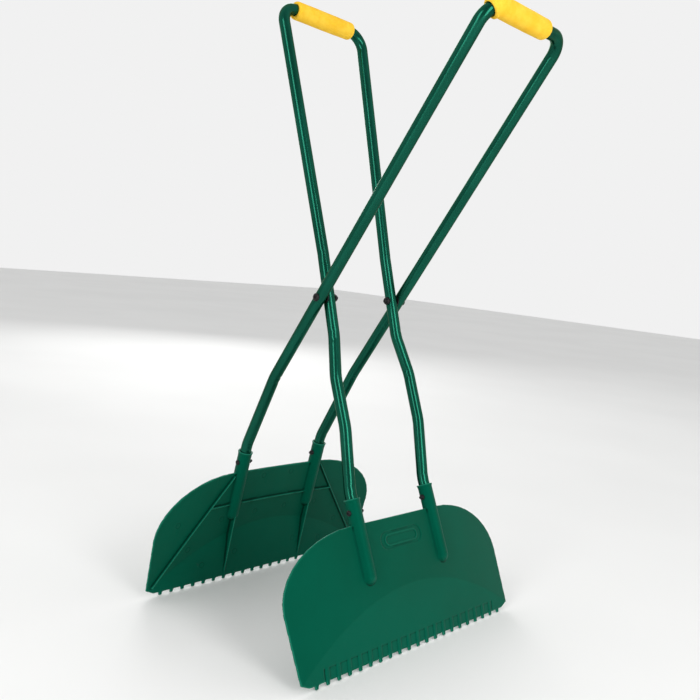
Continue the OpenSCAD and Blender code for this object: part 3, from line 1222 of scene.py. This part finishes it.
    def thin_out(self, piece: bpy.types.Object) -> None:
        """Reduces the faces on plain surfaces, and stores where painted highlight, painted shade and the painted
        lighter lip go.

        Args:
            piece: The moulding.
        """
        mesh = piece.data
        points = coordinates(mesh)
        painted_light_relief, above = self.edges_and_hollows(mesh), self.above_lip(mesh)
        plain = (np.abs(painted_light_relief) < self.plain_wear) & (np.abs(above) > self.crease)
        group = piece.vertex_groups.new(name="plain_surface")
        group.add(np.flatnonzero(plain).tolist(), 1.0, "REPLACE")
        thin = piece.modifiers.new("fewer_faces", "DECIMATE")
        thin.ratio = self.keep_share
        thin.vertex_group = group.name
        thin.vertex_group_factor = 1.0
        settle(piece)
        tree = kdtree.KDTree(len(points))
        for i, point in enumerate(points):
            tree.insert(point, i)
        tree.balance()
        source = np.array([tree.find(vertex.co)[1] for vertex in piece.data.vertices])
        # Stored for the material: painted highlight on edges, painted shade in corners, and the painted lighter
        # lip.
        set_values(piece.data, "edge_wear", painted_light_relief[source])
        set_values(piece.data, "lip_rub", np.clip(-above[source] / self.crease, 0.0, 1.0))
        piece.vertex_groups.clear()


# ------------------------------------------------------------------- fasteners


@dataclass
class TurnedPart:
    """A part turned about an axis along Y, from rings of a given outline."""

    at: Vector
    outward: int
    sides: int = 72

    def rings(self, levels: Sequence[Level]) -> np.ndarray:
        """Rings of points round the axis.

        Args:
            levels: Distance outward from the place, and radius by angle, of each ring.

        Returns:
            Points, as (ring, place in the ring, coordinate).
        """
        turn = np.linspace(0.0, 2 * math.pi, self.sides, endpoint=False)
        made = []
        for reach, radius in levels:
            r = radius(turn)
            x, z = self.at.x + r * np.cos(turn), self.at.z + r * np.sin(turn)
            y = np.full(self.sides, self.at.y + self.outward * reach)
            made.append(np.stack([x, y, z], 1))
        return np.stack(made)


def round_at(radius: float) -> Outline:
    """A circle's radius by angle."""
    return lambda turn: np.full(len(turn), radius)


def hex_at(flats: float, limit: float) -> Outline:
    """A hexagon's radius by angle, with its corners turned off.

    Args:
        flats: Width across the flats.
        limit: Radius that the corners are turned down to.

    Returns:
        The function.
    """
    sector = math.pi / 3

    def outline(turn: np.ndarray) -> np.ndarray:
        """Radius at each angle."""
        past_flat = (turn + sector / 2) % sector - sector / 2
        return np.minimum(flats / 2 / np.cos(past_flat), limit)

    return outline


def thread_at(radius: float, pitch: float, reach: float, depth: float) -> Outline:
    """A screw thread's radius by angle at one place along it.

    Args:
        radius: Outer radius.
        pitch: Length of one turn.
        reach: Place along the thread.
        depth: Depth of the groove.

    Returns:
        The function.
    """

    def outline(turn: np.ndarray) -> np.ndarray:
        """Radius at each angle."""
        phase = (reach / pitch + turn / (2 * math.pi)) % 1.0
        return radius - depth * np.abs(2 * phase - 1)

    return outline


@dataclass
class Fastener:
    """A screw or bolt with its nut, along Y. Shares are of the head's or nut's own size."""

    screw_node: str
    nut_node: str
    body: str
    side: Side
    shank_r: float
    head_h: float
    nut_h: float
    flats: float
    pitch: float
    seat_share: float = 0.96
    rim_share: float = 0.1
    dome_start: float = 0.3
    dome_turn: float = 1.2
    dome_rings: int = 9
    recess_core: float = 0.28
    recess_arm: float = 0.62
    recess_levels: tuple[float, ...] = (0.96, 0.5)
    tip_shares: tuple[float, float] = (0.7, 0.86)
    tip_len: float = 0.3 * MM
    thread_from: float = 0.4 * MM
    thread_to: float = 0.45
    plain_from: float = 0.44
    thread_depth: float = 0.6
    turn_steps: int = 8
    bore_gap: float = 0.06 * MM
    mouth: float = 0.3 * MM
    chamfer: float = 0.52
    washer: float = 0.46
    collar: tuple[tuple[float, float], ...] = ((0.76, 0.46), (0.94, 0.42), (1.0, 0.38))
    sharp_deg: float = 32.0

    def head_levels(self, width: float) -> list[Level]:
        """Rings of the head, from its seat outward.

        Args:
            width: The head's width.

        Returns:
            The rings' places and radii.
        """
        h = self.head_h
        r = width / 2
        start, rest = self.dome_start, 1 - self.dome_start
        angles = np.linspace(0.0, self.dome_turn, self.dome_rings)
        domed = [(h * (start + rest * math.sin(a)), round_at(r * math.cos(a))) for a in angles]
        seat = [(0.0, round_at(self.shank_r)), (0.0, round_at(r * self.seat_share))]
        return [*seat, (self.rim_share * h, round_at(r)), *domed]

    def cross_recess(self, turn: np.ndarray) -> np.ndarray:
        """Radius by angle of the cross that a screwdriver fits."""
        arm = np.cos(2 * turn) ** 2
        return self.shank_r * (self.recess_core + self.recess_arm * arm**3)

    def shank_levels(self, length: float) -> list[Level]:
        """Rings of the shank, from its tip to the head's seat.

        Args:
            length: The shank's length.

        Returns:
            The rings' places and radii.
        """
        tip, shoulder = (round_at(self.shank_r * share) for share in self.tip_shares)
        step = self.pitch / self.turn_steps
        places = np.arange(-length + self.thread_from, -length * self.thread_to, step)
        depth = self.thread_depth * self.pitch
        thread = [(s, thread_at(self.shank_r, self.pitch, s, depth)) for s in places]
        plain = (-length * self.plain_from, round_at(self.shank_r))
        return [(-length, tip), (-length + self.tip_len, shoulder), *thread, plain]

    def build(self, finish: bpy.types.Material, slot: str) -> None:
        """Builds the screw and its nut.

        Args:
            finish: Their material.
            slot: The record's material slot.
        """
        low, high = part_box(self.screw_node)
        sign = self.side.value
        outer, inner = (high.y, low.y) if sign > 0 else (low.y, high.y)
        centre = (low + high) / 2
        seat = outer - sign * self.head_h
        part = TurnedPart(Vector((centre.x, seat, centre.z)), sign)
        levels = [*self.shank_levels(abs(seat - inner)), *self.head_levels(high.x - low.x)]
        levels += [(self.head_h * share, self.cross_recess) for share in self.recess_levels]
        mesh = grid_mesh(self.screw_node, part.rings(levels), self.sharp_deg)
        piece = add_object(f"{self.screw_node}_black", mesh)
        dress(piece, finish, slot, self.body, self.screw_node)
        self.build_nut(finish, slot)

    def nut_levels(self) -> list[Level]:
        """Rings of the nut, from the bore's foot over the outside to the bore's mouth."""
        width, h, corner = self.flats, self.nut_h, self.flats / math.sqrt(3)
        bore, turned = self.shank_r + self.bore_gap, width * self.chamfer
        hexagon = ((0.04, turned), (0.12, corner), (0.62, corner), (0.72, turned))
        return [
            (0.02 * h, round_at(bore)), (0.0, round_at(width * self.washer)),
            *((share * h, hex_at(width, limit)) for share, limit in hexagon),
            *((share * h, round_at(width * across)) for share, across in self.collar),
            (h, round_at(bore + self.mouth)), (0.9 * h, round_at(bore)),
        ]

    def build_nut(self, finish: bpy.types.Material, slot: str) -> None:
        """Builds the locking nut, with its chamfers and collar.

        Args:
            finish: Its material.
            slot: The record's material slot.
        """
        low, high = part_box(self.nut_node)
        sign = -self.side.value
        seat = low.y if sign > 0 else high.y
        part = TurnedPart(Vector(((low.x + high.x) / 2, seat, (low.z + high.z) / 2)), sign)
        mesh = loop_mesh(self.nut_node, part.rings(self.nut_levels()), self.sharp_deg)
        piece = add_object(f"{self.nut_node}_black", mesh)
        dress(piece, finish, slot, self.body, self.nut_node)


@dataclass
class Hardware:
    """Every bolt, screw, nut and spacer of the tool."""

    pivot_flats: float = 10 * MM
    socket_flats: float = 7 * MM
    head_h: float = 2.6 * MM

    def build(self, finishes: Finishes) -> None:
        """Builds the fasteners, and gives the spacers the black finish as painted shade between the tubes.

        Args:
            finishes: The tool's materials.
        """
        for side in Side:
            self.pivot(side).build(finishes.black, "black_fastener")
            for station in Station:
                self.socket_screw(side, station).build(finishes.black, "black_fastener")
            # Painted shade: the spacers take the black finish so that they read as the shaded gap between the
            # tubes.
            self.finish_spacer(f"{side.word}_pivot_spacer", finishes.black)

    def pivot(self, side: Side) -> Fastener:
        """The pivot bolt of one side."""
        return Fastener(
            screw_node=f"{side.word}_pivot_bolt", nut_node=f"{side.word}_pivot_nut",
            body=BODY[FrameKind.OUTER], side=side, shank_r=3 * MM, head_h=self.head_h,
            nut_h=5 * MM, flats=self.pivot_flats, pitch=1.0 * MM,
        )

    def socket_screw(self, side: Side, station: Station) -> Fastener:
        """The cross screw of one socket."""
        name = f"{station.word}_{side.word}_socket"
        return Fastener(
            screw_node=f"{name}_screw", nut_node=f"{name}_nut", body=BODY[FRAME_OF[station]],
            side=side, shank_r=2 * MM, head_h=self.head_h, nut_h=3.2 * MM,
            flats=self.socket_flats, pitch=0.7 * MM,
        )

    @staticmethod
    def finish_spacer(node: str, finish: bpy.types.Material) -> None:
        """Gives a CAD spacer the black finish, so that it reads as the shaded gap between the tubes: painted
        shade.

        Args:
            node: The spacer's CAD node.
            finish: Its material.
        """
        piece = frame["nodes"][node]
        piece.data.materials.clear()
        piece.data.materials.append(finish)
        LOG.info("%s: CAD node with its own finish", node)


# ---------------------------------------------------------------------- studio


@dataclass
class Softbox:
    """A large soft lamp that looks at the tool."""

    name: str
    place: tuple[float, float, float]
    size: tuple[float, float]
    watts: float

    def build(self, target: Vector) -> None:
        """Builds the lamp.

        Args:
            target: What it looks at.
        """
        lamp = bpy.data.lights.new(self.name, "AREA")
        lamp.shape = "RECTANGLE"
        lamp.size, lamp.size_y = self.size
        lamp.energy = self.watts
        holder = bpy.data.objects.new(self.name, lamp)
        bpy.context.scene.collection.objects.link(holder)
        holder.location = self.place
        holder.rotation_euler = (target - Vector(self.place)).to_track_quat("-Z", "Y").to_euler()


@dataclass
class Studio:
    """Pale floor, soft light and the camera."""

    azimuth: float = math.radians(42.8)
    elevation: float = math.radians(6.1)
    roll: float = math.radians(5.8)
    distance: float = 1162.6 * MM
    shift_right: float = -15.9 * MM
    shift_up: float = -70.6 * MM
    lens: float = 42.66
    sensor: float = 36.0
    clip: tuple[float, float] = (0.01, 50.0)
    aim: tuple[float, float, float] = (0.0, 0.0, 0.4)
    floor_half: float = 9.0
    floor_colour: Colour = (0.84, 0.84, 0.83, 1.0)
    floor_dip: float = 0.97
    floor_rough: float = 0.7
    floor_gloss: float = 0.2
    sky: Colour = (1.0, 1.0, 1.0, 1.0)
    dim_sky: Colour = (0.4, 0.41, 0.42, 1.0)
    lamp_side: tuple[float, float, float] = (0.68, -0.73, 0.0)
    sky_strength: float = 0.88
    softboxes: tuple[Softbox, ...] = (
        Softbox("key_softbox", (2.7, -0.5, 1.0), (1.0, 2.4), 50.0),
        Softbox("front_softbox", (0.5, -2.7, 1.3), (0.8, 2.4), 34.0),
        Softbox("back_softbox", (-2.4, 1.6, 1.8), (1.0, 2.2), 24.0),
    )

    def build(self) -> None:
        """Builds the whole studio."""
        self.build_floor()
        self.build_sky()
        for box in self.softboxes:
            box.build(Vector(self.aim))
        self.build_camera()

    def build_floor(self) -> None:
        """Builds the floor, with a faint mottling."""
        half = self.floor_half
        mesh = bpy.data.meshes.new("floor")
        signs = ((-1, -1), (1, -1), (1, 1), (-1, 1))
        mesh.from_pydata([(half * x, half * y, 0.0) for x, y in signs], [], [(0, 1, 2, 3)])
        floor = add_object("floor", mesh)
        g = Graph.of_material("studio_floor")
        shadow = tuple(self.floor_dip * c for c in self.floor_colour[:3]) + (1.0,)
        colour = g.mix(g.noise(1.5, 2.0).band(0.3, 0.7), self.floor_colour, shadow)
        mesh.materials.append(g.surface({
            "Base Color": colour, "Roughness": self.floor_rough,
            "Specular IOR Level": self.floor_gloss,
        }))

    def build_sky(self) -> None:
        """Lights the scene from all round, less from the side where the softboxes stand."""
        world = bpy.data.worlds.new("studio_air")
        g = Graph(world)
        way = g.add("ShaderNodeTexCoord", out="Generated")
        settings = {"operation": "DOT_PRODUCT"}
        toward = g.add("ShaderNodeVectorMath", settings, {0: way, 1: self.lamp_side}, "Value")
        sky = g.mix(toward.band(-0.1, 0.8), self.sky, self.dim_sky)
        air = g.add("ShaderNodeBackground", None, {"Color": sky, "Strength": self.sky_strength})
        g.add("ShaderNodeOutputWorld", None, {"Surface": air})
        bpy.context.scene.world = world

    def build_camera(self) -> None:
        """Places the camera about the hinge, and shows true colours."""
        az, el = self.azimuth, self.elevation
        back = Vector((math.cos(el) * math.sin(az), -math.cos(el) * math.cos(az), math.sin(el)))
        level = (-back).cross(Vector((0.0, 0.0, 1.0))).normalized()
        upright = level.cross(-back)
        right = level * math.cos(self.roll) + upright * math.sin(self.roll)
        up = upright * math.cos(self.roll) - level * math.sin(self.roll)
        pivot = Vector(frame["joints"][0]["pos_m"])
        lens = bpy.data.cameras.new("camera")
        lens.lens = self.lens
        lens.sensor_width = self.sensor
        lens.clip_start, lens.clip_end = self.clip
        camera = bpy.data.objects.new("camera", lens)
        bpy.context.scene.collection.objects.link(camera)
        place = pivot + back * self.distance + right * self.shift_right + up * self.shift_up
        turn = Matrix((right, up, back)).transposed().to_4x4()
        camera.matrix_world = Matrix.Translation(place) @ turn
        bpy.context.scene.camera = camera
        bpy.context.scene.view_settings.view_transform = "Standard"


def main() -> None:
    """Builds the tool and its studio."""
    logging.basicConfig(level=logging.INFO, format="%(message)s")
    finishes = Finishes()
    Studio().build()
    for kind in FrameKind:
        tubes = TubeFrame(kind)
        tubes.build_tube(finishes.enamel)
        tubes.build_grip(finishes.foam)
    for station in Station:
        Scoop(station).build(finishes.plastic)
    Hardware().build(finishes)


if __name__ == "__main__":
    main()
